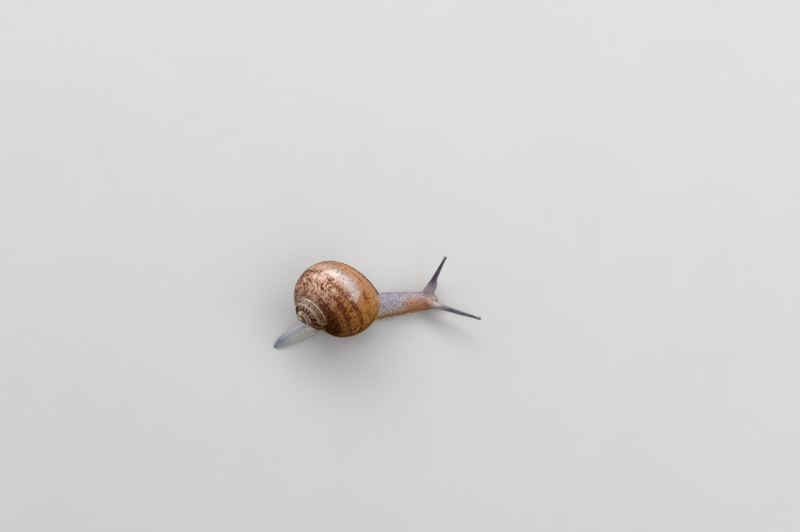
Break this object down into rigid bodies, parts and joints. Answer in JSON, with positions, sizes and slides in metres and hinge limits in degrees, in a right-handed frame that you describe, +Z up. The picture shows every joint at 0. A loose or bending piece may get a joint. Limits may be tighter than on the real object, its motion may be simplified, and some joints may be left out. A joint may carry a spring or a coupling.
{
  "type": "land snail, young garden snail crawling",
  "caption": "Life-size still model of a young garden snail crawling, flat sole down, neck and upper tentacles stretched out, shell spire to its right rear.",
  "frame": {"origin": "on the flat sole under the mouth of the shell", "axes": "+X towards the head, +Y to the animal's left, +Z up from the sole"},
  "size_m": [0.0608, 0.0242, 0.0214],
  "materials": {
    "shell": "thin horny shell, tan to golden brown with dark flecks and growth streaks, satin gloss",
    "mantle": "moist grey-yellow mantle collar",
    "skin": "moist lavender-grey skin with raised tubercles, peach on the flanks and pale foot edge",
    "eye": "small glossy black eye"
  },
  "bodies": {
    "root": {"shell": "shell", "mantle": "mantle", "tail": "skin", "foot": "skin", "neck": "skin", "head": "skin", "tentacle_upper_left": "skin", "tentacle_upper_right": "skin", "tentacle_lower_left": "skin", "tentacle_lower_right": "skin", "eye_left": "eye", "eye_right": "eye"}
  },
  "joints": []
}
